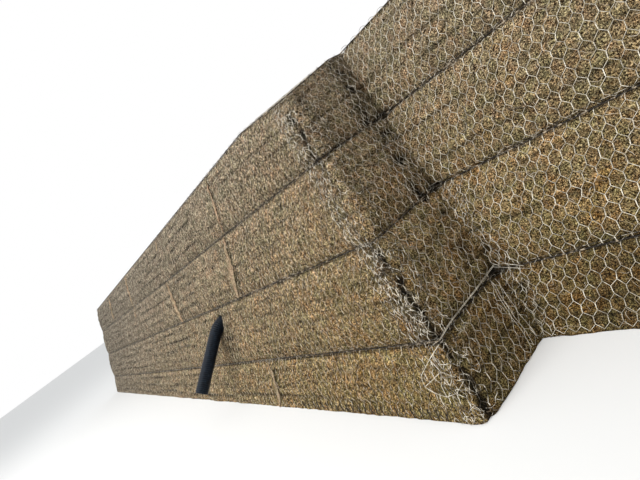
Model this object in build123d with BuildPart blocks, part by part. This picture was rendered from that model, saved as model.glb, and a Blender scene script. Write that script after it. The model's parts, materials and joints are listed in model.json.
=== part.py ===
"""A battered gabion wall: soil-filled mesh baskets in four courses, with one step back in plan.

Lengths are in millimetres. X runs along the wall, Y runs into it from the front, and Z is up from
the ground. The origin is on the ground, at the middle of the whole wall with its drain outlet.
"""
import os
from math import cos, radians, sin, sqrt, tan

from build123d import *

# Bays along the wall
BAY_LENGTH = 3000
BAYS_BEFORE_STEP = 5
BAYS_AFTER_STEP = 1
STEP_BACK = 763

# Courses and their battered face
COURSE_HEIGHT = 679
COURSES = 4
FIRST_COURSE_ABOVE_GROUND = 444
FACE_ANGLE = 68.3
WALL_DEPTH = 3000

# Shape of one filled basket
FACE_BULGE = 30
TOP_ROUND = 45
BED_ROUND = 22
BACK_EASE = 25
CORNER_ROUND = 55

# Slump of the fill at the top of the corner, measured along and down from the rim
SLUMP_DROP = 120
SLUMP_ALONG_FRONT = 900
SLUMP_ALONG_END = 600

# Selvedge wires along the seams and the top edge
WIRE_RADIUS = 5
WIRE_SIDES = 6
WIRE_BEND = 15
WIRE_CLEARANCE = 0.3
TOP_WIRE_LEAN = 40
SLUMP_WIRE_LIFT = 8

# Corrugated drain pipe through the face of one basket
PIPE_FROM_CORNER = 3950
PIPE_HEIGHT = 942
PIPE_BEND_FROM_FOOT = 323
PIPE_FALL = 38
PIPE_BEND_RADIUS = 300
PIPE_REACH = 334
PIPE_BEHIND_FOOT = 530
RIB_RADIUS = 79
GROOVE_RADIUS = 73
BORE_RADIUS = 68
RIB_PITCH = 30
PIPE_CLEARANCE = 0.3

# Places worked out from the sizes above
RUN_PER_RISE = 1 / tan(radians(FACE_ANGLE))
BAYS = BAYS_BEFORE_STEP + BAYS_AFTER_STEP
LEFT_END = -BAYS * BAY_LENGTH / 2
RIGHT_END = LEFT_END + BAYS * BAY_LENGTH
CORNER_X = LEFT_END + BAYS_BEFORE_STEP * BAY_LENGTH
FRONT_REACH = PIPE_REACH + RIB_RADIUS * sin(radians(PIPE_FALL))
FOOT_Y = (FRONT_REACH - WALL_DEPTH) / 2
BACK_Y = FOOT_Y + WALL_DEPTH
PIPE_X = CORNER_X - PIPE_FROM_CORNER
PIPE_BAY = BAYS_BEFORE_STEP - int(PIPE_FROM_CORNER // BAY_LENGTH)
LEVELS = [
    FIRST_COURSE_ABOVE_GROUND + (course - 1) * COURSE_HEIGHT
    for course in range(COURSES + 1)
]
TOP = LEVELS[-1]

# Plane across the stepped end: its first axis runs from the corner into the wall
STEPPED_END = Plane(origin=(0, 0, 0), x_dir=(-1, 0, 0), z_dir=(0, 1, 0))


def face_line(foot, height):
    """Distance at which a battered face with this foot line stands, at one height."""
    return foot + height * RUN_PER_RISE


def basket_outline(foot, bed, top, back):
    """Square-cornered section of a filled basket: bulging front, level bed and top, upright back."""
    low = (face_line(foot, bed), bed)
    high = (face_line(foot, top), top)
    slope = radians(FACE_ANGLE)
    crown = (
        (low[0] + high[0]) / 2 - FACE_BULGE * sin(slope),
        (low[1] + high[1]) / 2 + FACE_BULGE * cos(slope),
    )
    with BuildSketch() as outline:
        with BuildLine():
            ThreePointArc(low, crown, high)
            Polyline(high, (back, top), (back, bed), low)
        make_face()
    return outline.sketch


def rounded_section(foot, bed, top, back):
    """The same section with its bed and top corners rounded by the mesh that wraps them."""
    with BuildSketch() as section:
        add(basket_outline(foot, bed, top, back))
        fillet(section.vertices().group_by(Axis.Y)[0].sort_by(Axis.X)[0], BED_ROUND)
        fillet(section.vertices().group_by(Axis.Y)[-1].sort_by(Axis.X)[0], TOP_ROUND)
    return section.sketch


def seat_between(lower, upper):
    """Centre of a wire that rests in the groove between the rounded edges of two sections."""
    below = lower.edges().filter_by(GeomType.CIRCLE).sort_by(Axis.Y)[-1].arc_center
    above = upper.edges().filter_by(GeomType.CIRCLE).sort_by(Axis.Y)[0].arc_center
    reach_below = TOP_ROUND + WIRE_RADIUS + WIRE_CLEARANCE
    reach_above = BED_ROUND + WIRE_RADIUS + WIRE_CLEARANCE
    apart = (above - below).length
    upward = (above - below).normalized()
    outward = upward.rotate(Axis.Z, 90)
    climb = (reach_below**2 - reach_above**2 + apart**2) / (2 * apart)
    return below + upward * climb + outward * sqrt(reach_below**2 - climb**2)


def seat_on_top(section):
    """Centre of a wire that rests on the rounded top edge of a section, just forward of its crest."""
    crest = section.edges().filter_by(GeomType.CIRCLE).sort_by(Axis.Y)[-1].arc_center
    reach = TOP_ROUND + WIRE_RADIUS + WIRE_CLEARANCE
    lean = radians(TOP_WIRE_LEAN)
    return crest + Vector(-sin(lean), cos(lean)) * reach


def write(piece, name):
    """Give a finished piece its name and write its file."""
    piece.part.label = name
    export_step(piece.part, f"parts/{name}.step")


def ease_back(basket):
    """Chamfer the long edges of the upright back, apart from one that lies on the ground."""
    back = basket.faces().sort_by(Axis.Y)[-1]
    chamfer(back.edges().filter_by(Axis.X).filter_by(lambda edge: edge.center().Z > 1), BACK_EASE)


def rim(basket, upward):
    """Edges where the top (1) or the bed (-1) of a corner basket meets its battered faces."""
    flats = basket.faces().filter_by(lambda face: face.normal_at().Z * upward > 0.9)
    return flats.edges().filter_by(on_battered_face)


def on_battered_face(edge):
    """True for an edge that runs along the front or the stepped end."""
    middle = edge.center()
    run = middle.Z * RUN_PER_RISE
    return min(middle.Y - FOOT_Y, CORNER_X - middle.X) - run < CORNER_ROUND


def on_mitre(edge):
    """True for the curved edge where the front and the stepped end meet."""
    off_mitre = abs(CORNER_X - edge.center().X - edge.center().Y + FOOT_Y)
    return off_mitre < 0.1 and edge.geom_type != GeomType.LINE


os.makedirs("parts", exist_ok=True)

# Sections of the courses, from the ground up; the first course goes on below ground
beds = [top - COURSE_HEIGHT for top in LEVELS[1:]]
courses = list(zip(beds, LEVELS[1:]))
sections = [rounded_section(FOOT_Y, bed, top, BACK_Y) for bed, top in courses]
stepped_sections = [rounded_section(FOOT_Y + STEP_BACK, bed, top, BACK_Y) for bed, top in courses]

# Centre line of the drain pipe: up from its open outlet, then level into the basket
outlet_height = PIPE_HEIGHT - (PIPE_BEND_FROM_FOOT + PIPE_REACH) * tan(radians(PIPE_FALL))
with BuildLine(Plane.YZ.offset(PIPE_X)) as pipe_route:
    FilletPolyline(
        (FOOT_Y - PIPE_REACH, outlet_height),
        (FOOT_Y + PIPE_BEND_FROM_FOOT, PIPE_HEIGHT),
        (FOOT_Y + PIPE_BEHIND_FOOT, PIPE_HEIGHT),
        radius=PIPE_BEND_RADIUS,
    )
pipe_line = pipe_route.wire()
pipe_outlet = Plane(origin=pipe_line @ 0, z_dir=pipe_line % 0)
with BuildPart() as pipe_passage:
    with BuildSketch(pipe_outlet):
        Circle(RIB_RADIUS + PIPE_CLEARANCE)
    sweep(path=pipe_line)

# Straight baskets of the bays before the step
for course in range(COURSES):
    for bay in range(BAYS_BEFORE_STEP - 1):
        with BuildPart() as basket:
            with BuildSketch(Plane.YZ.offset(LEFT_END + bay * BAY_LENGTH)):
                add(sections[course])
            extrude(amount=BAY_LENGTH)
            if beds[course] < 0:
                split(bisect_by=Plane.XY)
            ease_back(basket)
            if bay + 1 == PIPE_BAY:
                add(pipe_passage.part, mode=Mode.SUBTRACT)
        write(basket, f"course_{course + 1}_bay_{bay + 1}")

# Rim of the slumped corner: three points of the top edge, with the corner point on the bulge
rim_x = CORNER_X - TOP * RUN_PER_RISE
rim_y = face_line(FOOT_Y, TOP)
slump_share = SLUMP_DROP / COURSE_HEIGHT
slump_bulge = 4 * FACE_BULGE * slump_share * (1 - slump_share) / sin(radians(FACE_ANGLE))
slump_out = SLUMP_DROP * RUN_PER_RISE + slump_bulge
slump_rim = [
    Vector(rim_x - SLUMP_ALONG_FRONT, rim_y, TOP),
    Vector(rim_x + slump_out, rim_y - slump_out, TOP - SLUMP_DROP),
    Vector(rim_x, rim_y + SLUMP_ALONG_END, TOP),
]
slump_normal = (slump_rim[0] - slump_rim[1]).cross(slump_rim[2] - slump_rim[1])
slump_plane = Plane(origin=slump_rim[1], z_dir=slump_normal)

# Corner baskets: the battered face turns back round the corner to form the stepped end
for course, (bed, top) in enumerate(courses):
    front_outline = basket_outline(FOOT_Y, bed, top, BACK_Y)
    end_outline = basket_outline(-CORNER_X, bed, top, BAY_LENGTH - CORNER_X)
    with BuildPart() as corner_basket:
        with BuildSketch(Plane.YZ.offset(CORNER_X - BAY_LENGTH)):
            add(front_outline)
        extrude(amount=2 * BAY_LENGTH)
        with BuildSketch(STEPPED_END.offset(BACK_Y - 2 * WALL_DEPTH)):
            add(end_outline)
        extrude(amount=3 * WALL_DEPTH, mode=Mode.INTERSECT)
        fillet(corner_basket.edges().filter_by(on_mitre), CORNER_ROUND)
        if top == TOP:
            split(bisect_by=slump_plane)
        ease_back(corner_basket)
        fillet(rim(corner_basket, -1), BED_ROUND)
        fillet(rim(corner_basket, 1), TOP_ROUND)
        if bed < 0:
            split(bisect_by=Plane.XY)
        if PIPE_BAY == BAYS_BEFORE_STEP:
            add(pipe_passage.part, mode=Mode.SUBTRACT)
    write(corner_basket, f"course_{course + 1}_bay_{BAYS_BEFORE_STEP}")

# Baskets past the step: the first is cut to lie against the crown of the stepped end
for course, (bed, top) in enumerate(courses):
    crown = FACE_BULGE / sin(radians(FACE_ANGLE))
    for bay in range(BAYS_AFTER_STEP):
        bay_start = CORNER_X + bay * BAY_LENGTH
        bay_end = bay_start + BAY_LENGTH
        with BuildPart() as stepped_basket:
            with BuildSketch(Plane.YZ.offset(bay_start - BAY_LENGTH)):
                add(stepped_sections[course])
            extrude(amount=2 * BAY_LENGTH)
            with BuildSketch(Plane.XZ.offset(-BACK_Y - WALL_DEPTH)):
                with BuildLine():
                    if bay == 0:
                        bed_corner = (bay_start + crown - bed * RUN_PER_RISE, bed)
                        top_corner = (bay_start + crown - top * RUN_PER_RISE, top)
                    else:
                        bed_corner = (bay_start, bed)
                        top_corner = (bay_start, top)
                    Polyline(bed_corner, top_corner, (bay_end, top), (bay_end, bed), close=True)
                make_face()
            extrude(amount=3 * WALL_DEPTH, mode=Mode.INTERSECT)
            if bed < 0:
                split(bisect_by=Plane.XY)
            ease_back(stepped_basket)
        write(stepped_basket, f"course_{course + 1}_bay_{BAYS_BEFORE_STEP + bay + 1}")

# Selvedge wires: one laced along each seam and one along the top edge, at the front and the back
wire_reach = WIRE_RADIUS + WIRE_CLEARANCE
for course in range(COURSES):
    if course + 1 < COURSES:
        seat = seat_between(sections[course], sections[course + 1])
        back_seat = (BACK_Y - BACK_EASE + wire_reach * sqrt(2), LEVELS[course + 1])
        corner_points = [Vector(CORNER_X + FOOT_Y - seat.X, seat.X, seat.Y)]
        name = f"seam_wires_{course + 1}"
    else:
        seat = seat_on_top(sections[course])
        back_seat = (
            BACK_Y - BACK_EASE / 2 + wire_reach / sqrt(2),
            TOP - BACK_EASE / 2 + wire_reach / sqrt(2),
        )
        inset = seat.X - rim_y
        rise = seat.Y - TOP
        corner_points = [
            slump_rim[0] + Vector(0, inset, rise + SLUMP_WIRE_LIFT / 2),
            slump_rim[1] + Vector(-inset, inset, rise + SLUMP_WIRE_LIFT),
            slump_rim[2] + Vector(-inset, 0, rise + SLUMP_WIRE_LIFT / 2),
        ]
        name = "top_edge_wires"
    step_x = CORNER_X + FOOT_Y - seat.X
    step_y = seat.X + STEP_BACK
    with BuildPart() as wires:
        with BuildLine() as front_route:
            FilletPolyline(
                (LEFT_END, seat.X, seat.Y),
                *corner_points,
                (step_x, step_y, seat.Y),
                (RIGHT_END, step_y, seat.Y),
                radius=WIRE_BEND,
            )
        front_line = front_route.wire()
        with BuildSketch(Plane(origin=front_line @ 0, z_dir=front_line % 0)):
            RegularPolygon(WIRE_RADIUS, WIRE_SIDES)
        sweep(path=front_line)
        with BuildSketch(Plane.YZ.offset(LEFT_END)):
            with Locations(back_seat):
                RegularPolygon(WIRE_RADIUS, WIRE_SIDES)
        extrude(amount=RIGHT_END - LEFT_END)
    write(wires, name)

# Drain pipe: a ruled skin over crests and grooves at an even pitch, round a smooth bore
with BuildPart() as drain_pipe:
    for ring in range(2 * int(pipe_line.length // RIB_PITCH) + 1):
        station = ring * RIB_PITCH / 2
        middle = pipe_line.position_at(station, position_mode=PositionMode.LENGTH)
        heading = pipe_line.tangent_at(station, position_mode=PositionMode.LENGTH)
        with BuildSketch(Plane(origin=middle, x_dir=(1, 0, 0), z_dir=heading)):
            Circle(GROOVE_RADIUS if ring % 2 else RIB_RADIUS)
    loft(ruled=True)
    with BuildSketch(pipe_outlet):
        Circle(BORE_RADIUS)
    sweep(path=pipe_line, mode=Mode.SUBTRACT)
write(drain_pipe, "drain_pipe")
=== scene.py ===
"""Looks of a battered gabion wall: soil-filled mesh baskets lined with coir matting, in four courses."""

import json
from math import cos, pi, radians, sin, tan

import bmesh
import bpy
import numpy as np
from mathutils import Matrix, Vector

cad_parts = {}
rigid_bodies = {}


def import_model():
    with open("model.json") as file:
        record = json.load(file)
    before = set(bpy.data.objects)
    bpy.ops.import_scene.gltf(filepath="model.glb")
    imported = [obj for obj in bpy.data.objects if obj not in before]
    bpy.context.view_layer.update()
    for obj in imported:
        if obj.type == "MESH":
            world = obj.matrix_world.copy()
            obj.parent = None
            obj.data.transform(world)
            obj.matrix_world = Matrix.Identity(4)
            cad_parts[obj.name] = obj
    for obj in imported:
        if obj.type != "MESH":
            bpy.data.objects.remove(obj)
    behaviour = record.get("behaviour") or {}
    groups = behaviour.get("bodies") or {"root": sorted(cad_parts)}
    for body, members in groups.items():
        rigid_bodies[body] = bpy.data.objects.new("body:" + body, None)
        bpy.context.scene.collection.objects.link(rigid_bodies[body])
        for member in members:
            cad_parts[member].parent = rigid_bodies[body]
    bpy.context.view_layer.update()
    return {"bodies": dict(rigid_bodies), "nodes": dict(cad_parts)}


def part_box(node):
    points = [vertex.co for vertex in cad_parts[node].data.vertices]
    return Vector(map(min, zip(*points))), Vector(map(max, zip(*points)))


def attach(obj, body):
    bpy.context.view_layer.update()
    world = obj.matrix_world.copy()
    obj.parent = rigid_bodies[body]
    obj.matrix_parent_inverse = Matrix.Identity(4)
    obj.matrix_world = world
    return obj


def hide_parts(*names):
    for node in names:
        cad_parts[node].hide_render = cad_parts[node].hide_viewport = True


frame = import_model()
BODY = next(iter(frame["bodies"]))

# Filled baskets
# Each is a cage of woven wire lined with a coconut-fibre mat and packed with damp soil, so its
# battered face bulges between the seams, and the mat is creased where the stiff panel behind it folds.
BAY = 3.0
BAYS = 6
COURSES = 4
WALL_DEPTH = 3.0
STEP_BACK = 0.763
FACE_ANGLE = radians(68.3)
COURSE_HEIGHT = 0.679
BULGE = 0.030
TOP_ROUND = 0.045
BED_ROUND = 0.022
CORNER_ROUND = 0.055
FINE_PITCH = 0.020
COARSE_PITCH = 0.035
LID_PITCH = 0.12
HIDDEN_PITCH = 0.8
PLAIN_TONE = 0.9
LATTICE = 32
RUN_PER_RISE = 1 / tan(FACE_ANGLE)
LEFT_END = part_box("course_1_bay_1")[0].x
RIGHT_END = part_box("course_1_bay_6")[1].x
CORNER = RIGHT_END - BAY
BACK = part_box("course_1_bay_1")[1].y
FOOT = BACK - WALL_DEPTH
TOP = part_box("course_4_bay_1")[1].z
LEVELS = [TOP - (COURSES - n) * COURSE_HEIGHT for n in range(COURSES + 1)]
SLUMP_DROP = 0.12
SLUMP_FRONT = 0.90
SLUMP_END = 0.60
PIPE_X = CORNER - 3.95
PIPE_HEIGHT = 0.942
MAT_HOLES = (
    (4.46, 1.764, 0.022), (4.451, 1.697, 0.026), (4.078, 1.694, 0.022), (3.625, 1.698, 0.026),
    (3.594, 1.628, 0.022), (4.554, 1.683, 0.016), (4.125, 1.588, 0.018), (4.447, 1.018, 0.026),
    (2.529, 1.707, 0.030), (2.817, 1.66, 0.026), (5.875, 1.70, 0.020),
)


def lumps(points, size, seed):
    """Smooth unevenness between -1 and 1, with swells about as wide as size, at many points at once."""
    lattice = np.random.default_rng(seed).uniform(-1, 1, (LATTICE, LATTICE, LATTICE))
    cell = np.asarray(points, float) / size
    low = np.floor(cell).astype(int)
    part = cell - low
    part = part * part * (3 - 2 * part)
    total = np.zeros(len(cell))
    for corner in np.ndindex(2, 2, 2):
        share = np.ones(len(cell))
        for axis, step in enumerate(corner):
            share = share * (part[:, axis] if step else 1 - part[:, axis])
        at = (low + corner) % LATTICE
        total += share * lattice[at[:, 0], at[:, 1], at[:, 2]]
    return total


def bump_at(distance, width):
    """A smooth hump, 1 at no distance and gone a few widths away."""
    return np.exp(-((distance / width) ** 2))


def face_section(course, pitch):
    """Points up a basket's face, from its bed round the bulge to its top, about a pitch apart: how far
    along the section, how far behind the batter, height, and the outward and upward share of its normal."""
    bed, top = LEVELS[course - 1], LEVELS[course]
    low_in = BED_ROUND / tan(FACE_ANGLE / 2)
    high_in = TOP_ROUND * tan(FACE_ANGLE / 2)
    slope = (top - bed) / sin(FACE_ANGLE)
    low_arc = np.linspace(-pi / 2, FACE_ANGLE - 1.5 * pi, 6)
    low = np.stack([low_in + BED_ROUND * np.cos(low_arc), BED_ROUND + BED_ROUND * np.sin(low_arc)], 1)
    rise = np.linspace(0, 1, max(4, int((slope - low_in - high_in) / pitch)))[1:-1]
    along = low_in + rise * (slope - low_in - high_in)
    swell = 4 * BULGE * rise * (1 - rise)
    face = np.stack([
        along * cos(FACE_ANGLE) - swell * sin(FACE_ANGLE),
        along * sin(FACE_ANGLE) + swell * cos(FACE_ANGLE),
    ], 1)
    high_arc = np.linspace(FACE_ANGLE + pi / 2, pi / 2, 6)
    centre = (slope * cos(FACE_ANGLE) + high_in, top - bed - TOP_ROUND)
    high = np.stack([centre[0] + TOP_ROUND * np.cos(high_arc), centre[1] + TOP_ROUND * np.sin(high_arc)], 1)
    points = np.concatenate([low, face, high])
    heading = np.gradient(points, axis=0)
    heading /= np.linalg.norm(heading, axis=1)[:, None]
    reach = np.concatenate([[0], np.cumsum(np.linalg.norm(np.diff(points, axis=0), axis=1))])
    depth = points[:, 0] - points[:, 1] * RUN_PER_RISE
    rows = np.stack([reach, depth, points[:, 1] + bed, heading[:, 1], heading[:, 0]], 1)
    if bed < 0:
        ground = [np.interp(0, rows[:, 2], rows[:, k]) for k in range(5)]
        rows = np.concatenate([[ground], rows[rows[:, 2] > 0.004]])
    return rows


FACE_REACH = {course: face_section(course, FINE_PITCH)[-1, 0] for course in range(1, COURSES + 1)}


def in_plan(run, along, depth, height):
    """Where points of one run stand in plan, and which way they face, from how far along the run they
    are, how far behind the batter and how high. Round the corner, along is measured from the mitre."""
    batter = height * RUN_PER_RISE
    if run != "corner":
        foot = FOOT if run == "front" else FOOT + STEP_BACK
        return along, foot + batter + depth, np.zeros_like(along), -np.ones_like(along)
    corner_x = CORNER - batter - depth
    corner_y = FOOT + batter + depth
    radius = np.maximum(CORNER_ROUND - depth, 0.004)
    turn = np.clip((along + radius) / (2 * radius), 0, 1) * pi / 2
    x = corner_x - radius + radius * np.sin(turn) + np.minimum(along + radius, 0)
    y = corner_y + radius - radius * np.cos(turn) + np.maximum(along - radius, 0)
    return x, y, np.sin(turn), -np.cos(turn)


def past_mitre(points):
    """How far points lie past the mitre of the salient corner: below 0 on the front, above 0 beyond it."""
    return (points[:, 1] - FOOT) - (CORNER - points[:, 0])


def from_step(run, points):
    """How far points of a face are from the inner corner of the step."""
    batter = points[:, 2] * RUN_PER_RISE
    if run == "stepped":
        return points[:, 0] - CORNER + batter
    return FOOT + STEP_BACK + batter - points[:, 1]


def from_drain(points):
    """How far points are from the axis of the drain where it lies level."""
    return np.hypot(points[:, 0] - PIPE_X, points[:, 2] - PIPE_HEIGHT)


def slump(x, y, height):
    """How far the fill has sunk below the rim near the salient corner, for points of the top course."""
    from_end = CORNER - height * RUN_PER_RISE - x
    from_front = y - FOOT - height * RUN_PER_RISE
    sunk = 1 - np.maximum(from_end, 0) / SLUMP_FRONT - np.maximum(from_front, 0) / SLUMP_END
    sunk = np.clip(sunk, 0, 1) * (x < CORNER - height * RUN_PER_RISE + 0.05)
    share = np.clip((height - LEVELS[3]) / COURSE_HEIGHT, 0, 1)
    return SLUMP_DROP * sunk * share


def line_of(along, row):
    """Places for unevenness that runs along a line, unlike that of other rows."""
    return np.stack([along, np.full_like(along, row), np.zeros_like(along)], 1)


def creases(points, share, course):
    """The folds along a course where the panel behind the mat bends: for each, how strong it is, and
    how many of its own widths away from it each point lies."""
    along = points[:, 0] + points[:, 1]
    line = line_of(along, 7.3 * course)
    wide = np.interp(points[:, 0], (-6, 4), (0.036, 0.022))
    steady = np.interp(points[:, 0], (-3, 3), (0.95, 0.60))
    for level, seed in ((0.24, 21), (0.45, 23), (0.64, 22), (0.83, 24)):
        middle = level + 0.05 * lumps(line, 0.9, seed) + 0.015 * lumps(line, 0.15, seed + 5)
        yield np.clip(steady + 1.1 * lumps(line, 0.45, seed + 9), 0, 1.1), (share - middle) / wide


SLOT_HEIGHTS = (0.0, 0.36, 0.51, 0.65, 1.1, 1.8, 2.4)
SLOT_PLACES = (0.056, 0.027, 0.020, -0.003, -0.03, -0.085, -0.095)


def course_top(height):
    """The height of the top of the course that each height belongs to."""
    return TOP - np.floor((TOP - height) / COURSE_HEIGHT - 1e-6).clip(0) * COURSE_HEIGHT


def pockets(run, points, share):
    """Where bunched mesh leaves the mat loose and in shadow, from 0 to 1: slots beside the salient
    corner, and hollows down the inner corner of the step and at each seam there."""
    z = points[:, 2]
    away = from_step(run, points)
    at_seam = np.minimum(share, 1 - share)
    hollow = 0.25 * bump_at(away, 0.03) + 0.9 * bump_at(away, 0.08) * bump_at(at_seam, 0.07)
    ruck = np.clip(2.4 * lumps(points, 0.08, 63) - 0.35, 0, 1)
    low_down = np.clip((1.0 - z) / 0.5, 0, 1)
    if run != "corner":
        return np.clip(hollow + ruck * low_down * bump_at(away - 0.06, 0.11), 0, 1) * (run == "stepped")
    past = past_mitre(points)
    slot = past - np.interp(z, SLOT_HEIGHTS, SLOT_PLACES) + 0.020 * lumps(points, 0.11, 61)
    broken = np.clip(1.0 + 1.9 * lumps(points * (0, 0, 1), 0.10, 62), 0, 1)
    broken = broken * (1 - 0.8 * bump_at(z - 1.52, 0.20))
    wide = 0.042 - 0.014 * bump_at(z - 1.45, 0.30) - 0.008 * (z < 0.45)
    behind = 1.2 * ruck * (1 - 0.7 * low_down) * bump_at(away - 0.14, 0.09)
    hidden = np.clip(hollow + bump_at(slot, wide) * broken + 0.5 * ruck * bump_at(past, 0.2) + behind, 0, 1)
    return hidden * np.where(course_top(z) > TOP - 0.01, np.clip((1 - share) * 12, 0, 1), 1)


def relief(run, points, share, course):
    """How far the mat stands out from the even bulge: lumps of fill, creases and pockets."""
    out = 0.010 * lumps(points * (1, 1, 0.6), 0.55, 11) + 0.006 * lumps(points * (1, 1, 0.6), 0.21, 12)
    out += 0.005 * lumps(points, 0.07, 13) + 0.004 * lumps(points, 0.04, 14)
    for strength, gap in creases(points, share, course):
        out += 0.010 * strength * (0.5 * bump_at(gap - 2.2, 1.6) - bump_at(gap, 1.0))
    out = out * np.clip(share * 9, 0, 1) * np.clip((1 - share) * 9, 0, 1)
    if run == "front":
        out -= 0.060 * bump_at(from_drain(points), 0.12)
    return out - 0.020 * pockets(run, points, share)


STRIPS = (
    (4, 0.03, 0.95, 3.00, 2.97, 0.055, 0.035), (3, 0.02, 0.97, 2.90, 2.97, 0.20, 0.06),
    (1, 0.30, 0.98, 3.22, 3.15, 0.10, 0.04), (4, 0.70, 0.95, 0.06, 0.04, 0.07, 0.07),
    (3, 0.04, 0.96, 0.38, 0.06, 0.28, 0.10), (4, 0.03, 0.95, -3.10, -3.10, 0.16, 0.16),
    (3, 0.60, 0.97, -3.05, -3.05, 0.10, 0.10), (4, 0.10, 0.90, -6.05, -6.05, 0.16, 0.16),
)


def strip_at(strip, share):
    """Where the middle of a strip is at places up the face, how wide it is, and how far up it they are."""
    _, low, high, foot, head, broad, narrow = strip
    up = (share - low) / (high - low)
    bow = 0.08 * np.sin(pi * np.clip(up, 0, 1))
    return foot + (head - foot) * up + bow, broad + (narrow - broad) * up, up


def shade(run, points, share, course):
    """How light the mat looks, with 1 for plain dry mat: painted shade in creases, pockets, small holes,
    the inner corner of the step and beside the joint strips, painted highlights on the bulge of each course
    and beside its creases, painted light and shade round each seam, and a painted shadow of the drain."""
    tone = 1 + 0.07 * lumps(points, 0.22, 51) + 0.07 * lumps(points, 0.9, 52)
    # Painted shade in each crease of the mat, and a painted highlight beside it.
    crease_shade = np.interp(points[:, 0], (0, 2.5, 5), (0.95, 0.75, 0.5)) if run != "stepped" else 0.65
    for strength, gap in creases(points, share, course):
        tone += strength * (0.16 * bump_at(gap - 2.2, 1.6) - crease_shade * bump_at(gap, 0.8))
    # Painted highlight on the upper bulge of each course, and painted shade low down over its bed.
    tone += 0.20 * bump_at(share - 0.88, 0.06) - 0.28 * bump_at(share - 0.06, 0.07)
    # Round each seam: painted light in the notch on the front, painted shade there elsewhere, and a ragged
    # line of painted shade just below the seam.
    ragged = 0.75 + 0.5 * lumps(points * (1, 1, 0), 0.16, 53)
    front = (run == "front") | (run == "corner") & (past_mitre(points) < 0)
    shade_over_seam = -0.5 if course > 2 else -0.2
    tone += np.where(front, 0.40, shade_over_seam) * bump_at(share, 0.030) * (course > 1)
    if course < COURSES:
        shade_under_seam = -0.2 if course == 1 else -0.5
        tone += np.where(front, 0.25, shade_under_seam) * bump_at(1 - share, 0.016)
        tone -= np.where(front, 1.0, 0.5) * ragged * bump_at(share - 0.957, 0.011)
    # Painted shade in the pockets.
    tone *= 1 - 0.96 * pockets(run, points, share)
    away = from_step(run, points)
    # Painted shade on the step's face near its inner corner.
    if run == "stepped":
        tone *= 1 - 0.14 * np.clip(1.4 - away / 0.20, 0, 1)
    # Round the corner: painted shade in a band on the return near the step; lighter along the salient edge
    # on course 3; darker before the mitre, and near the bed past it, on course 2.
    if run == "corner":
        tone *= 1 - 0.50 * bump_at(away - 0.15, 0.11) * np.clip(points[:, 2] - 0.8, 0, 1)
        past = past_mitre(points)
        tone *= 1 + 0.35 * bump_at(past + 0.01, 0.04) * (course == 3)
        tone *= 1 - 0.40 * bump_at(past + 0.09, 0.09) * (course == 2)
        if course == 2:
            tone *= 1 - 0.25 * bump_at(share - 0.055, 0.035) * np.clip(past * 20, 0, 1)
    # Painted shadow along the right edge of each joint strip.
    for strip in STRIPS:
        if strip[0] == course and run != "stepped":
            middle, wide, up = strip_at(strip, share)
            line = points[:, 0] - middle - wide / 2 - 0.02 - 0.010 * lumps(points, 0.06, 54)
            tone -= 0.55 * bump_at(line, 0.020) * (up > 0) * (up < 1)
    mottled = np.interp(points[:, 0], (0, 5), (0.45, 0.2))
    tone *= 1 + mottled * lumps(points, 0.065 if run == "front" else 0.03, 55) * np.clip(share * 20, 0, 1)
    wet = np.clip((0.62 - points[:, 2]) / 0.25, 0, 1)
    near = np.clip((points[:, 0] - 6.2) / 0.8, 0, 1)
    tone *= np.where(front, 0.85, 0.93 - (0.33 + 0.26 * near) * wet)
    # Painted shade in small holes in the mat.
    for x, z, wide in MAT_HOLES:
        tone *= 1 - 0.9 * bump_at(np.hypot(points[:, 0] - x, points[:, 2] - z), wide)
    # Painted shadow of the drain on the mat to its right and below it, and painted shade round the hole
    # where it goes in.
    if run == "front":
        damp_and_shadow = np.hypot(points[:, 0] - PIPE_X - 0.22, (points[:, 2] - PIPE_HEIGHT + 0.22) * 0.8)
        tone *= 1 - 0.48 * bump_at(damp_and_shadow, 0.25)
        tone *= 1 - 0.80 * bump_at(from_drain(points), 0.10)
    return np.clip(tone, 0.06, 1.6)


def wall_surface(run, course, along, rows, off):
    """Points on the face of a course, and how light the mat is there, from places along the run, rows of
    its section, and how far off the mat the points are."""
    reach, depth, height, outward, upward = rows.T
    x, y, face_x, face_y = in_plan(run, along, depth, height)
    share = reach / FACE_REACH[course]
    if course == COURSES:
        height = height - slump(x, y, height)
        x, y, face_x, face_y = in_plan(run, along, depth, height)
    base = np.stack([x, y, height], 1)
    off = off + relief(run, base, share, course)
    points = base + np.stack([outward * face_x, outward * face_y, upward], 1) * off[:, None]
    points[:, 2] = np.maximum(points[:, 2], 0)
    return points, shade(run, base, share, course)


def lid_height(x, y):
    """Height of the trodden fill on top of the wall."""
    loose = np.clip((np.abs(x - CORNER + BAY / 2) - BAY / 2) / 0.3, 0, 1)
    uneven = 0.010 * lumps(np.stack([x, y, 0 * x], 1), 0.35, 31) - 0.004
    return TOP - slump(x, y, np.full_like(x, TOP)) + loose * uneven


def grid_of(columns, rows):
    """A flat grid as a bmesh, with each vertex's column and row."""
    bm = bmesh.new()
    bmesh.ops.create_grid(bm, x_segments=columns - 1, y_segments=rows - 1, size=0.5)
    co = np.array([v.co[:2] for v in bm.verts]) + 0.5
    return bm, np.rint(co[:, 0] * (columns - 1)).astype(int), np.rint(co[:, 1] * (rows - 1)).astype(int)


def placed(mesh, name, material):
    """A mesh made into an object of the scene, smooth and in one material."""
    mesh.polygons.foreach_set("use_smooth", [True] * len(mesh.polygons))
    mesh.materials.clear()
    mesh.materials.append(material)
    piece = bpy.data.objects.new(name, mesh)
    bpy.context.scene.collection.objects.link(piece)
    return piece


def finished(bm, name, material):
    """A bmesh made into an object of the scene, and freed."""
    mesh = bpy.data.meshes.new(name)
    bm.to_mesh(mesh)
    bm.free()
    return placed(mesh, name, material)


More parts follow.
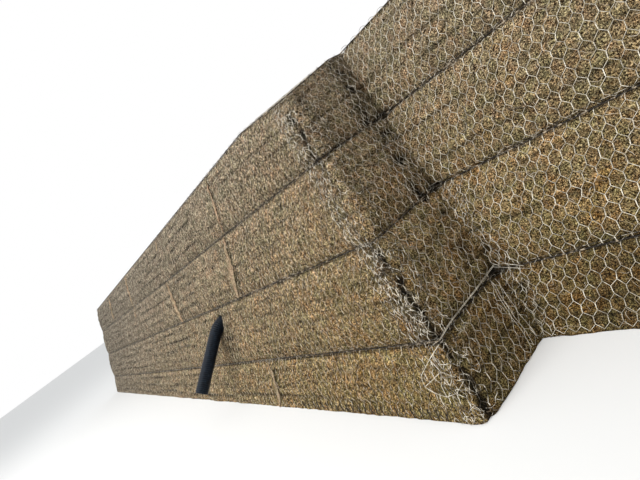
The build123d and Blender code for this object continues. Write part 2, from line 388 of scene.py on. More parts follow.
def close_basket(bm, column, row, points, tones):
    """Moves a grid to its points, closes both its ends, and joins its first row to its last."""
    tone = bm.verts.layers.float.new("tone")
    ends = [[], []]
    for vertex, at, level, point, light in sorted(
        zip(bm.verts, column, row, points, tones), key=lambda entry: entry[2]
    ):
        vertex.co = point
        vertex[tone] = light
        if level < row.max():
            if at == 0:
                ends[0].append(vertex)
            if at == column.max():
                ends[1].append(vertex)
    for end in ends:
        bm.faces.new(end)
    bmesh.ops.remove_doubles(bm, verts=bm.verts, dist=1e-5)
    bmesh.ops.recalc_face_normals(bm, faces=bm.faces)


def box_rows(course, foot, pitch, hidden_pitch):
    """The closed section of a straight basket: up the face, back along the top, down the back and
    home along the bed. The last value of a row is 1 on the face."""
    face = face_section(course, pitch)
    bed, top = max(LEVELS[course - 1], 0), LEVELS[course]
    rim = foot + top * RUN_PER_RISE + face[-1, 1]
    steps = max(3, int((BACK - rim) / hidden_pitch))
    lid = [[0, y - foot - top * RUN_PER_RISE, top, 0, 1, 0] for y in np.linspace(rim, BACK, steps)[1:]]
    falls = max(2, int((top - bed) / 0.3))
    back = [[0, BACK - foot - z * RUN_PER_RISE, z, -1, 0, 0] for z in np.linspace(top, bed, falls)[1:]]
    face = np.concatenate([face, np.ones((len(face), 1))], 1)
    return np.concatenate([face, lid, back, face[:1]])


def new_material(name):
    """A new material, its node tree and its surface shader."""
    material = bpy.data.materials.new(name)
    material.use_nodes = True
    return material, material.node_tree, material.node_tree.nodes["Principled BSDF"]


coir = new_material("coir_mat")[0]


def straight_basket(course, bay, run, start, pitch):
    """One basket whose face is straight in plan, from its start to the next joint."""
    foot = FOOT if run == "front" else FOOT + STEP_BACK
    rows = box_rows(course, foot, pitch, LID_PITCH if course == COURSES else HIDDEN_PITCH)
    columns = int(BAY / pitch) + 1
    bm, column, row = grid_of(columns, len(rows))
    at = rows[row]
    left = start - at[:, 2] * RUN_PER_RISE - 0.02 if run == "stepped" else start
    right = LEFT_END + bay * BAY
    along = left + (right - left) * column / (columns - 1)
    face = at[:, 5] == 1
    points, tones = np.zeros((len(at), 3)), np.full(len(at), PLAIN_TONE)
    points[face], tones[face] = wall_surface(run, course, along[face], at[face, :5], np.zeros(face.sum()))
    x, y, _, _ = in_plan(run, along, at[:, 1], at[:, 2])
    rest = np.stack([x, y, at[:, 2]], 1)
    if course == COURSES:
        lid = ~face & (at[:, 3] == 0) & (y < BACK - 0.01)
        rest[lid, 2] = lid_height(x[lid], y[lid])
    points[~face] = rest[~face]
    close_basket(bm, column, row, points, tones)
    return finished(bm, f"filled_basket_{course}_{bay}", coir)


def corner_basket(course, bay, pitch):
    """The basket whose face turns back round the salient corner. Its top and bed are drawn in to its
    far back corner."""
    face = face_section(course, pitch)
    drawn_in = (0.06, 0.15, 0.3, 0.5, 0.75, 1.0)
    top = [[0, *face[-1, 1:3], 0, 1]] * len(drawn_in)
    bed = [[0, *face[0, 1:3], 0, -1]]
    rows = np.concatenate([bed, face, top, bed])
    share = np.concatenate([[1], 0 * face[:, 0], drawn_in, [1]])
    battered = np.concatenate([[False], [True] * len(face), [False] * (len(drawn_in) + 1)])
    near = 2 * CORNER_ROUND
    places = np.concatenate([
        np.arange(-BAY, -near, pitch), np.linspace(-near, near, 19),
        np.arange(near + pitch, STEP_BACK + 0.06, pitch), [WALL_DEPTH],
    ])
    bm, column, row = grid_of(len(places), len(rows))
    at, share, battered = rows[row], share[row], battered[row]
    batter = at[:, 2] * RUN_PER_RISE
    along = places[column]
    full = BAY - batter - at[:, 1]
    along = np.where(along < -near, -near + (along + near) * (full - near) / (BAY - near), along)
    along = np.where(column == len(places) - 1, BACK - FOOT - batter - at[:, 1], along)
    points, tones = wall_surface("corner", course, along, at, 0 * along)
    points[:, :2] += (np.array([CORNER - BAY, BACK]) - points[:, :2]) * share[:, None]
    points[:, 2] = np.where(battered, points[:, 2], np.maximum(at[:, 2], 0))
    if course == COURSES:
        lid = ~battered & (at[:, 4] > 0)
        points[lid, 2] = lid_height(points[lid, 0], points[lid, 1])
    tones = np.where(battered & (column < len(places) - 1), tones, PLAIN_TONE)
    close_basket(bm, column, row, points, tones)
    return finished(bm, f"filled_basket_{course}_{bay}", coir)


baskets = {}
for course in range(1, COURSES + 1):
    for bay in range(1, BAYS + 1):
        if bay == BAYS:
            basket = straight_basket(course, bay, "stepped", CORNER, FINE_PITCH)
        elif bay == BAYS - 1:
            basket = corner_basket(course, bay, FINE_PITCH)
        else:
            basket = straight_basket(course, bay, "front", LEFT_END + (bay - 1) * BAY, COARSE_PITCH)
        baskets[course, bay] = basket
        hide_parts(f"course_{course}_bay_{bay}")
        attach(basket, BODY)


def add_node(tree, kind, inputs=(), **values):
    """A shader node with some of its values set, and inputs that are set or linked from other outputs."""
    node = tree.nodes.new(kind)
    for name, value in values.items():
        if hasattr(node, name):
            setattr(node, name, value)
        else:
            node.inputs[name.replace("_", " ")].default_value = value
    for name, given in inputs:
        if isinstance(given, bpy.types.NodeSocket):
            tree.links.new(given, node.inputs[name])
        else:
            node.inputs[name].default_value = given
    return node


def noise(tree, place, scale, **values):
    """Unevenness through a material, around one half, finer with a larger scale."""
    return add_node(tree, "ShaderNodeTexNoise", [("Vector", place)], Scale=scale, **values).outputs["Fac"]


def ramp(tree, factor, stops):
    """A colour ramp through its stops, each a place and a colour."""
    node = add_node(tree, "ShaderNodeValToRGB", [("Fac", factor)])
    while len(node.color_ramp.elements) < len(stops):
        node.color_ramp.elements.new(0.5)
    for element, (place, colour) in zip(node.color_ramp.elements, stops):
        element.position = place
        element.color = (*colour, 1)
    return node.outputs["Color"]


def blend(tree, kind, amount, below, above):
    """Two colours mixed in one of the blend modes, by an amount."""
    return add_node(
        tree, "ShaderNodeMix", [(0, amount), (6, below), (7, above)], data_type="RGBA", blend_type=kind
    ).outputs[2]


def reckoned(tree, operation, first, second=0.0):
    """The result of a sum on outputs or numbers."""
    return add_node(tree, "ShaderNodeMath", [(0, first), (1, second)], operation=operation).outputs[0]


def mapped(tree, value, given, wanted):
    """A value mapped from one range to another."""
    node = add_node(tree, "ShaderNodeMapRange", [("Value", value)])
    node.inputs["From Min"].default_value, node.inputs["From Max"].default_value = given
    node.inputs["To Min"].default_value, node.inputs["To Max"].default_value = wanted
    return node.outputs["Result"]


def hairs(tree, place, scale, width):
    """Thin curly lines, 1 along each and 0 between them."""
    off = reckoned(tree, "SUBTRACT", noise(tree, place, scale, Detail=1.0, Distortion=1.2), 0.5)
    return mapped(tree, reckoned(tree, "ABSOLUTE", off), (0.0, width), (1.0, 0.0))


def fibrous(material, dark, middle, light, toned=True, open_weave=1.0):
    """Makes a material a mat of matted fibre, in three tones from the gaps to the stray hairs. A toned
    one is also as light as the mesh's own tone says, with the painted shade and highlights it carries,
    damper low down and, on the front, dustier and coarser to the left."""
    tree = material.node_tree
    shader = tree.nodes["Principled BSDF"]
    place = add_node(tree, "ShaderNodeTexCoord").outputs["Object"]
    parts = add_node(tree, "ShaderNodeSeparateXYZ", [("Vector", place)])
    behind = mapped(tree, parts.outputs["Y"], (-0.3, 0.6), (0.0, 11.0))
    along = reckoned(tree, "ADD", parts.outputs["X"], behind)
    broad = noise(tree, place, 13.0, Detail=4.0, Roughness=0.7)
    close = noise(tree, place, 44.0, Detail=3.0, Roughness=0.7)
    dense = noise(tree, place, 105.0, Detail=3.0, Roughness=0.7)
    fine = noise(tree, place, 90.0, Detail=3.0, Roughness=0.8)
    clump = noise(tree, place, 5.0, Detail=5.0, Roughness=0.7)
    stain = noise(tree, place, 16.0, Detail=2.0)
    nearer = mapped(tree, along, (-5.0, 3.5), (0.40, 0.85))
    nearest = mapped(tree, along, (4.0, 6.0), (0.0, 0.90))
    coarse = blend(tree, "MIX", nearer, broad, close)
    coarse = blend(tree, "MIX", nearest, coarse, dense)
    colour = ramp(tree, coarse, [
        (0.435, dark), (0.477, tuple(0.38 * c for c in middle)), (0.52, middle), (0.57, light),
    ])
    gaps = ramp(tree, fine, [(0.42, (0.12,) * 3), (0.50, (0.92,) * 3), (0.60, (1.9,) * 3)])
    colour = blend(tree, "MULTIPLY", open_weave, colour, gaps)
    for scale, width in ((24.0, 0.020), (45.0, 0.028)):
        seen = reckoned(tree, "MULTIPLY", hairs(tree, place, scale, width), 0.8)
        colour = blend(tree, "MIX", seen, colour, (*light, 1))
    patch = ramp(tree, clump, [
        (0.34, (0.78, 0.81, 0.76)), (0.44, (0.94, 0.97, 0.91)),
        (0.54, (1.03, 1.0, 0.97)), (0.68, (1.16, 1.02, 0.90)),
    ])
    colour = blend(tree, "MULTIPLY", 1.0, colour, patch)
    stained = ramp(tree, stain, [
        (0.36, (0.97, 1.01, 0.96)), (0.50, (1.0, 1.0, 1.0)), (0.64, (1.05, 0.98, 0.97)),
    ])
    colour = blend(tree, "MULTIPLY", 1.0, colour, stained)
    if toned:
        tone = add_node(tree, "ShaderNodeAttribute", attribute_name="tone")
        grey = add_node(tree, "ShaderNodeCombineColor", [(k, tone.outputs["Fac"]) for k in range(3)])
        colour = blend(tree, "MULTIPLY", 1.0, colour, grey.outputs[0])
        dusty = mapped(tree, along, (-9.0, 6.5), (0.56, 1.10))
        damp_and_shadow = mapped(tree, parts.outputs["Z"], (0.2, 2.4), (1.32, 0.94))
        both = reckoned(tree, "MULTIPLY", dusty, damp_and_shadow)
        value = mapped(tree, along, (-9.0, 4.0), (0.72, 0.98))
        colour = add_node(tree, "ShaderNodeHueSaturation", [
            ("Color", colour), ("Saturation", both), ("Value", value),
        ]).outputs["Color"]
    tree.links.new(colour, shader.inputs["Base Color"])
    height = reckoned(tree, "ADD", coarse, fine)
    bump = add_node(tree, "ShaderNodeBump", [("Height", height)], Strength=1.0, Distance=0.025)
    tree.links.new(bump.outputs["Normal"], shader.inputs["Normal"])
    shader.inputs["Roughness"].default_value = 0.95
    shader.inputs["Specular IOR Level"].default_value = 0.12


fibrous(coir, (0.022, 0.014, 0.007), (0.240, 0.166, 0.094), (0.680, 0.555, 0.385))

# Hexagonal mesh
# The face of every basket is double-twist mesh of coated wire, woven with 83 mm between its twists,
# which run up the slope. It is pulled tight over the mat, so it follows each lump and crease.
WIRE = 0.0017
CELL_WIDTH = 0.083
TWIST = 0.044
SLANT_RISE = 0.035
TWISTED_PAIR = 1.6
MESH_LIFT = 0.004
DRAIN_HOLE = 0.084


def worn(name, scale, stops, gloss=0.15, roughness=0.55, detail=4.0, spread=0.7):
    """A material with patches of wear: how fine they are and their colours, how much it shines and how
    rough it is, and how much smaller patches add."""
    material, tree, shader = new_material(name)
    place = add_node(tree, "ShaderNodeTexCoord").outputs["Object"]
    patches = noise(tree, place, scale, Detail=detail, Roughness=spread)
    tree.links.new(ramp(tree, patches, stops), shader.inputs["Base Color"])
    shader.inputs["Roughness"].default_value = roughness
    shader.inputs["Specular IOR Level"].default_value = gloss
    return material


wire_coat = worn("coated_wire", 11.0, (
    (0.36, (0.34, 0.300, 0.235)), (0.50, (0.64, 0.57, 0.45)), (0.60, (0.95, 0.88, 0.73)),
), 0.5)
dusty_wire = worn("dusty_wire", 34.0, (
    (0.42, (0.09, 0.070, 0.048)), (0.50, (0.28, 0.225, 0.155)), (0.59, (0.78, 0.68, 0.52)),
))


def add_wire(bm, start, end, radius, turns=0.0, phase=0.0):
    """A three-sided wire between two points, wound round its line by some turns."""
    start, end = Vector(start), Vector(end)
    run = end - start
    into_place = Matrix.Translation((start + end) / 2) @ run.to_track_quat("Z", "X").to_matrix().to_4x4()
    made = bmesh.ops.create_cone(
        bm, segments=3, radius1=radius, radius2=radius, depth=run.length, cap_ends=True, cap_tris=False
    )["verts"]
    if turns:
        for cut in np.linspace(-0.5, 0.5, 6)[1:-1]:
            flesh = list({f for v in made for f in v.link_faces})
            flesh += list({e for v in made for e in v.link_edges}) + list(made)
            split = bmesh.ops.bisect_plane(
                bm, geom=flesh, plane_co=(0, 0, cut * run.length), plane_no=(0, 0, 1)
            )
            made += [part for part in split["geom_cut"] if isinstance(part, bmesh.types.BMVert)]
        for vertex in made:
            angle = phase + (vertex.co.z / run.length + 0.5) * turns * 2 * pi
            vertex.co.x += radius * cos(angle)
            vertex.co.y += radius * sin(angle)
    bmesh.ops.transform(bm, matrix=into_place, verts=made)
    return made


def evaluated(piece):
    """A new mesh of a piece with its modifiers applied, or of a curve with its thickness."""
    return bpy.data.meshes.new_from_object(piece.evaluated_get(bpy.context.evaluated_depsgraph_get()))


def woven_cells(across, up, fine):
    """Flat mesh with its wires across X and its twists along Y: cells in rows, as loose wires."""
    bm = bmesh.new()
    wires = bm.verts.layers.int.new("wire")
    count = 0
    pitch = TWIST + SLANT_RISE
    for row in range(2):
        x, y = row * CELL_WIDTH / 2, row * pitch
        pieces = []
        if fine:
            for side in (0, pi):
                pieces.append(add_wire(bm, (x, y, 0), (x, y + TWIST, 0), WIRE, 1.5, side))
        else:
            pieces.append(add_wire(bm, (x, y, 0), (x, y + TWIST, 0), WIRE * TWISTED_PAIR))
        for side in (-1, 1):
            tip = (x + side * CELL_WIDTH / 2, y + pitch, 0)
            pieces.append(add_wire(bm, (x, y + TWIST, 0), tip, WIRE))
        for piece in pieces:
            for vertex in piece:
                vertex[wires] = count
            count += 1
    mesh = bpy.data.meshes.new("cells")
    bm.to_mesh(mesh)
    bm.free()
    base = len(mesh.vertices)
    cells = bpy.data.objects.new("cells", mesh)
    bpy.context.scene.collection.objects.link(cells)
    for axis, amount, step in ((0, across / CELL_WIDTH, CELL_WIDTH), (1, up / pitch / 2, 2 * pitch)):
        array = cells.modifiers.new("cells", "ARRAY")
        array.count = int(amount) + 2
        array.use_relative_offset = False
        array.use_constant_offset = True
        array.constant_offset_displace = (0, 0, 0)
        array.constant_offset_displace[axis] = step
    full = evaluated(cells)
    bpy.data.objects.remove(cells)
    co = np.zeros(len(full.vertices) * 3)
    full.vertices.foreach_get("co", co)
    number = np.zeros(len(full.vertices), int)
    full.attributes["wire"].data.foreach_get("value", number)
    return full, co.reshape(-1, 3), np.arange(len(number)) // base * count + number


def in_drain(points):
    """True for points in the hole round the drain pipe, where it goes into the wall."""
    return (from_drain(points) < DRAIN_HOLE) & (points[:, 1] < FOOT + 0.6)


def lay_mesh(name, width, height, fine, place, inside, start, squeeze=1.0, strain=1.0, coat=wire_coat):
    """A sheet of mesh laid on the wall: place turns flat points to points of the wall, and wires whose
    middles aren't inside are left out. It can be squeezed narrow and strained out of shape."""
    full, flat, wire = woven_cells(width / squeeze, height, fine)
    flat[:, 0] *= squeeze
    flat[:, :2] += start
    sway = flat * (1, 1, 0) + (0, 0, start[1] * 3)
    flat[:, 0] += strain * (0.008 * lumps(sway, 0.10, 41) + 0.012 * lumps(sway, 0.6, 42))
    flat[:, 1] += strain * (0.008 * lumps(sway, 0.09, 43) + 0.010 * lumps(sway, 0.5, 44))
    total = np.maximum(np.bincount(wire), 1)
    middle = [np.bincount(wire, flat[:, k]) / total for k in range(2)]
    points = place(flat[:, 0], flat[:, 1], flat[:, 2])
    keep = inside(*middle) & (np.bincount(wire, in_drain(points)) == 0)
    full.vertices.foreach_set("co", points.ravel())
    bm = bmesh.new()
    bm.from_mesh(full)
    bm.verts.ensure_lookup_table()
    bmesh.ops.delete(bm, geom=[bm.verts[i] for i in np.nonzero(~keep[wire])[0]], context="VERTS")
    bpy.data.meshes.remove(full)
    return wire_piece(finished(bm, name, coat))


def wire_piece(piece):
    """Attaches a piece of wire to the wall's body."""
    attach(piece, BODY)
    return piece


def on_face(run, course, lift=MESH_LIFT):
    """A function that lays flat points on the face of a course."""
    table = face_section(course, FINE_PITCH)

    def place(along, up, out):
        up = np.clip(up, table[0, 0], table[-1, 0])
        rows = np.stack([np.interp(up, table[:, 0], table[:, k]) for k in range(5)], 1)
        return wall_surface(run, course, along, rows, out + lift)[0]

    return place


def face_span(course):
    """Where a course's face starts, at its bed or the ground, and where it ends, along its section."""
    return face_section(course, FINE_PITCH)[[0, -1], 0]


def corner_line(course, up):
    """Where the leaning face of the step's end stands, at places up the face of a course."""
    table = face_section(course, FINE_PITCH)
    return CORNER - np.interp(up, table[:, 0], table[:, 2]) * RUN_PER_RISE


def face_sheet(name, run, course, width, fine, covered, start, below, lift=MESH_LIFT, **kind):
    """A sheet of mesh up the whole face of a course, where covered is true. It starts at a place along
    the run and a little below the face, and its kind is how it is squeezed, strained and coated."""
    low, high = face_span(course)
    lay_mesh(
        name, width, high - low, fine, on_face(run, course, lift),
        lambda along, up: covered(along, up) & (up < high) & (up > low), (start, low - below), **kind
    )


for course in range(1, COURSES + 1):
    below = course % 2 * 0.03
    face_sheet(
        f"face_mesh_front_{course}", "front", course, CORNER - LEFT_END, False,
        lambda x, up: (x > LEFT_END) & (x < corner_line(course, up) - 0.22),
        LEFT_END, below, coat=dusty_wire,
    )
    face_sheet(
        f"face_mesh_end_{course}", "corner", course, STEP_BACK, True,
        lambda past, up: (past > 0.16) & (past < STEP_BACK - 0.02), 0.10, below,
    )
    face_sheet(
        f"face_mesh_stepped_{course}", "stepped", course, BAY + 1.1, True,
        lambda x, up: (x > corner_line(course, up) + 0.02) & (x < RIGHT_END), CORNER - 1.05, below,
    )

# Mesh of the lids, backs and ends
# The same mesh closes the top, the upright back and both ends of the wall, laid flat.
lay_mesh(
    "lid_mesh", RIGHT_END - LEFT_END, 2.1, False,
    lambda x, y, out: np.stack([x, y, lid_height(x, y) + out + 0.009], 1),
    lambda x, y: (x > LEFT_END) & (x < RIGHT_END) & (y < BACK)
    & (y > FOOT + TOP * RUN_PER_RISE + 0.06 + STEP_BACK * (x > CORNER - TOP * RUN_PER_RISE - 0.06)),
    (LEFT_END, FOOT + TOP * RUN_PER_RISE),
)
lay_mesh(
    "back_mesh", RIGHT_END - LEFT_END, TOP, False,
    lambda x, z, out: np.stack([x, BACK - out + 0.003, np.maximum(z, 0.002)], 1),
    lambda x, z: (x > LEFT_END) & (x < RIGHT_END) & (z > 0.01) & (z < TOP - 0.02),
    (LEFT_END, -0.02),
)
for side, foot in ((-1, FOOT), (1, FOOT + STEP_BACK)):
    plane = LEFT_END if side < 0 else RIGHT_END
    lay_mesh(
        "end_mesh_left" if side < 0 else "end_mesh_right", WALL_DEPTH, TOP, False,
        lambda y, z, out: np.stack([plane + side * (0.003 + out), y, np.maximum(z, 0.002)], 1),
        lambda y, z: (y > foot + z * RUN_PER_RISE + 0.02) & (y < BACK) & (z > 0.01) & (z < TOP - 0.02),
        (FOOT, -0.02),
    )

# Wrapped corners
# At the salient corner the mesh of both faces is folded round and bunched. At the inner corner of the
# step the panels overlap, so the wires lie double there.
bunched_wire = worn("bunched_wire", 24.0, (
    (0.42, (0.06, 0.050, 0.038)), (0.50, (0.36, 0.315, 0.245)), (0.58, (0.95, 0.88, 0.74)),
))
for course in range(1, COURSES + 1):
    face_sheet(
        f"corner_wrap_{course}", "corner", course, 0.50, True,
        lambda past, up: (past > -0.27) & (past < 0.10 + 0.03 * course),
        -0.34, 0.05, 0.009, squeeze=0.92, strain=1.4, coat=bunched_wire,
    )
    edge = np.interp(LEVELS[course] - 0.2, SLOT_HEIGHTS, SLOT_PLACES)
    face_sheet(
        f"corner_bunch_{course}", "corner", course, 0.24, True,
        lambda past, up: (past > edge - 0.18) & (past < edge - 0.02),
        edge - 0.26, 0.02, 0.016, squeeze=0.62, strain=2.2, coat=bunched_wire,
    )
    if course > 2:
        face_sheet(
            f"step_overlap_{course}", "corner", course, 0.34, True,
            lambda past, up: (past > STEP_BACK - 0.30) & (past < STEP_BACK - 0.02),
            STEP_BACK - 0.32, 0.06, 0.012, squeeze=0.75, strain=2.2, coat=bunched_wire,
        )
    else:
        face_sheet(
            f"step_overlap_{course}", "stepped", course, 1.45, True,
            lambda x, up: (x > corner_line(course, up) + 0.015) & (x < corner_line(course, up) + 0.20),
            CORNER - 1.02, 0.06, 0.010, squeeze=0.75, strain=1.8, coat=bunched_wire,
        )

# Seam and top edge wires
# A selvedge wire edges each panel, and the panels are laced together by a wire wound round both. Along
# most of the seams the wire is dark, both caked with mud and coloured with painted shade of the seam's
# groove, and it is clean on the highest seam past the corner.
SELVEDGE_RADIUS = 0.0015
LACING_RADIUS = 0.0016
LACING_PITCH = 0.135
LACING_SPREAD = 0.018
PAST_CORNER = 4.8

for name, node in frame["nodes"].items():
    if name.startswith(("seam_wires", "top_edge")):
        node.data.materials.clear()

# Seam wires and lacing: dark for mud and for painted shade along the seams.
mud_and_shade_wire = worn("seam_wire", 20.0, (
    (0.42, (0.012, 0.009, 0.006)), (0.53, (0.040, 0.031, 0.022)), (0.62, (0.42, 0.34, 0.24)),
))
mud_and_shade_lacing = worn("mud_and_shade_lacing", 26.0, (
    (0.40, (0.020, 0.017, 0.013)), (0.52, (0.080, 0.068, 0.052)), (0.62, (0.60, 0.54, 0.44)),
))
pale_lacing = worn("pale_lacing", 26.0, (
    (0.38, (0.045, 0.038, 0.030)), (0.50, (0.34, 0.30, 0.245)), (0.60, (0.95, 0.88, 0.76)),
))


def threads(name, lines, radius, material):
    """Thin round lines through points, as one piece of closed meshes."""
    curve = bpy.data.curves.new(name, "CURVE")
    curve.dimensions = "3D"
    curve.bevel_depth = radius
    curve.bevel_resolution = 0
    curve.use_fill_caps = True
    for line in lines:
        spline = curve.splines.new("POLY")
        spline.points.add(len(line) - 1)
        spline.points.foreach_set("co", np.column_stack([line, np.ones(len(line))]).ravel())
    drawn = bpy.data.objects.new(name, curve)
    bpy.context.scene.collection.objects.link(drawn)
    mesh = evaluated(drawn)
    bpy.data.objects.remove(drawn)
    bpy.data.curves.remove(curve)
    return placed(mesh, name, material)


def stations(route, step):
    """Places along a route at an even step: how far along it, where, and the outward direction there."""
    route = np.asarray(route, float)
    legs = np.diff(route, axis=0)
    lengths = np.linalg.norm(legs, axis=1)
    reach = np.concatenate([[0], np.cumsum(lengths)])
    at = np.linspace(0, reach[-1], int(reach[-1] / step))
    points = np.stack([np.interp(at, reach, route[:, k]) for k in range(3)], 1)
    leg = legs[np.clip(np.searchsorted(reach, at, "right") - 1, 0, len(legs) - 1)]
    outward = np.stack([leg[:, 1], -leg[:, 0], 0 * at], 1)
    outward /= np.linalg.norm(outward, axis=1)[:, None]
    return at, points, outward


def seat_of(name):
    """Where a seam's wire starts at the left end, at the front."""
    ends = [v.co for v in frame["nodes"][name].data.vertices if v.co.x < LEFT_END + 0.001 and v.co.y < 0]
    return sum(ends, Vector()) / len(ends)


seam_names = [name for name in sorted(frame["nodes"]) if name.startswith("seam_wires")] + ["top_edge_wires"]
for number, name in enumerate(seam_names, 1):
    frame["nodes"][name].data.materials.append(mud_and_shade_wire)
    seat = seat_of(name)
    turn_x = CORNER - (seat.y - FOOT)
    if number < COURSES:
        corner = [(turn_x, seat.y, seat.z)]
    else:
        rim_x, rim_y = CORNER - TOP * RUN_PER_RISE, FOOT + TOP * RUN_PER_RISE
        bulge = 4 * BULGE * SLUMP_DROP / COURSE_HEIGHT * (1 - SLUMP_DROP / COURSE_HEIGHT) / sin(FACE_ANGLE)
        out = SLUMP_DROP * RUN_PER_RISE + bulge - (seat.y - rim_y)
        corner = [
            (rim_x - SLUMP_FRONT, seat.y, seat.z), (rim_x + out, rim_y - out, seat.z - SLUMP_DROP + 0.008),
            (turn_x, rim_y + SLUMP_END, seat.z),
        ]
    route = [
        (LEFT_END, seat.y, seat.z), *corner,
        (turn_x, seat.y + STEP_BACK, seat.z), (RIGHT_END, seat.y + STEP_BACK, seat.z),
    ]
    if number < COURSES:
        at, points, outward = stations(route, 0.05)
        wave = line_of(at, number * 9.1)
        slack = np.interp(points[:, 0] + points[:, 1], (0.0, PAST_CORNER), (0.35, 1.0))
        lines = []
        for above, forward, seed in ((0.021, 0.002, 71), (-0.019, 0.006, 72)):
            line = points + outward * (forward + 0.005 * lumps(wave, 0.17, seed))[:, None]
            line[:, 2] += slack * (above + 0.007 * lumps(wave, 0.23, seed + 5))
            lines.append(line)
        wire_piece(threads(f"selvedge_wires_{number}", lines, SELVEDGE_RADIUS, mud_and_shade_lacing))
    at, points, outward = stations(route, 0.016)
    wave = line_of(at, 0)
    angle = at / LACING_PITCH * 2 * pi + 0.8 * lumps(wave, 0.4, 75 + number)
    spread = LACING_SPREAD + 0.005 * lumps(wave, 0.1, 80 + number)
    spread *= np.interp(points[:, 0] + points[:, 1], (0.0, PAST_CORNER), (0.6, 1.0))
    lacing = points + outward * (spread * np.cos(angle))[:, None]
    lacing[:, 2] += spread * np.sin(angle)
    clean = (points[:, 0] + points[:, 1] > PAST_CORNER) & (number == COURSES - 1)
    wire_piece(threads(f"lacing_wire_{number}", [lacing[~clean]], LACING_RADIUS, mud_and_shade_lacing))
    if clean.any():
        wire_piece(threads("clean_lacing_wire", [lacing[clean]], LACING_RADIUS, pale_lacing))

# Stray fibres
# Coarse strands of coir stand out of the mat between the wires, curled and bleached at their ends.
FIBRE_RADIUS = 0.0014

stray = worn("stray_coir", 14.0, (
    (0.36, (0.16, 0.105, 0.060)), (0.50, (0.40, 0.31, 0.20)), (0.64, (0.62, 0.54, 0.42)),
), 0.5, 0.8, 2.0, 0.5)


def curls(rng, count, along, up, length, bend, lift, steps=5):
    """Random curled lines that lie over a face: places along and up it, and how far each point is off."""
    heading = rng.uniform(0, 2 * pi, (count, 1)) + np.cumsum(rng.normal(0, bend, (count, steps)), 1)
    stride = length / steps * rng.uniform(0.6, 1.5, (count, 1))
    places = rng.uniform(*along, (count, 1)) + np.cumsum(np.cos(heading) * stride, 1)
    heights = rng.uniform(*up, (count, 1)) + np.cumsum(np.sin(heading) * stride, 1)
    off = lift * rng.uniform(0.3, 1.0, (count, 1)) * np.sin(np.linspace(0.05 * pi, 0.9 * pi, steps))
    return places, heights, off


def laid(place, drawn):
    """Drawn lines laid on a face by its place function, without those that cross the drain."""
    count, steps = drawn[0].shape
    points = place(*(part.ravel() for part in drawn)).reshape(count, steps, 3)
    return [line for line in points if not in_drain(line).any() and line[:, 2].min() > 0.006]


rng = np.random.default_rng(2043)
for name, run, along, count in (
    ("stray_fibres_front", "corner", (-1.9, 0.0), 98), ("stray_fibres_end", "corner", (0.0, 0.74), 112),
    ("stray_fibres_stepped", "stepped", (0.0, 2.9), 225),
):
    lines = []
    for course in range(1, COURSES + 1):
        low, high = face_span(course)
        here = int(count * (high - low) / FACE_REACH[2])
        drawn = curls(rng, here, along, (low + 0.04, high - 0.04), 0.075, 0.7, 0.010)
        if run == "stepped":
            drawn[0][:] += corner_line(course, drawn[1])
        lines += laid(on_face(run, course, 0.002), drawn)
    strands = threads(name, lines, FIBRE_RADIUS, stray)
    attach(strands, BODY)

# Loose wires
# Cut ends and slack loops of mesh stand off the salient corner. A torn flap hangs at its foot, two wires
# lie along the lowest seam, three stand at the step, and curls end the mesh on the ground, thickened and
# near black as painted shadow of the loops.
LOOSE_RADIUS = 0.0015
FLAP_RADIUS = 0.0020
EDGE_RADIUS = 0.0014
CURL_RADIUS = 0.0040

lines = []
for course, count, lift in ((4, 26, 0.022), (3, 10, 0.016), (2, 54, 0.028), (1, 26, 0.034)):
    low, high = face_span(course)
    middle = np.interp(LEVELS[course] - 0.2, SLOT_HEIGHTS, SLOT_PLACES)
    drawn = curls(
        rng, count, (middle - 0.11, middle + 0.09), (low + 0.02, high - 0.02), 0.16, 0.55, lift, 8
    )
    lines += laid(on_face("corner", course, 0.008), drawn)
wire_piece(threads("loose_loops", lines, LOOSE_RADIUS, bunched_wire))

for name, thick, wires in (
    ("loose_flap", FLAP_RADIUS, (
        ((5.85, -1.155, 0.450), (5.735, -1.20, 0.375), (5.61, -1.245, 0.281), (5.617, -1.272, 0.218),
         (5.692, -1.287, 0.182), (5.788, -1.295, 0.159), (5.884, -1.285, 0.183), (5.951, -1.245, 0.236)),
        ((5.735, -1.20, 0.375), (5.80, -1.23, 0.30), (5.77, -1.268, 0.22), (5.788, -1.295, 0.159)),
        ((5.617, -1.272, 0.218), (5.70, -1.262, 0.255), (5.80, -1.23, 0.30), (5.90, -1.235, 0.26)),
    )),
    ("hanging_wires", LOOSE_RADIUS, (
        ((5.828, -1.12, 0.455), (5.825, -0.95, 0.475), (5.828, -0.62, 0.481), (5.830, -0.35, 0.492)),
        ((5.831, -1.12, 0.451), (5.828, -0.95, 0.470), (5.831, -0.62, 0.476), (5.833, -0.36, 0.486)),
        ((5.83, -0.355, 0.492), (5.95, -0.39, 0.50), (6.09, -0.405, 0.455)),
        ((5.83, -0.36, 0.480), (5.96, -0.40, 0.47), (6.12, -0.41, 0.43)),
    )),
):
    lines = []
    for spots in wires:
        at = np.linspace(0, len(spots) - 1, 6 * len(spots))
        lines.append(np.stack([np.interp(at, np.arange(len(spots)), column) for column in zip(*spots)], 1))
    wire_piece(threads(name, lines, thick, wire_coat))

low, high = face_span(1)
edges = []
rise = np.linspace(0, 1, 12)
for past, lean, off in ((0.625, 0.03, 0.012), (0.645, 0.02, 0.020), (0.71, 0.0, 0.018)):
    up = np.linspace(low + 0.03, high - 0.05, 12)
    edges.append(on_face("corner", 1, off)(past + lean * rise, up, 0.004 * np.sin(up * 21)))
wire_piece(threads("edge_wires", edges, EDGE_RADIUS, wire_coat))

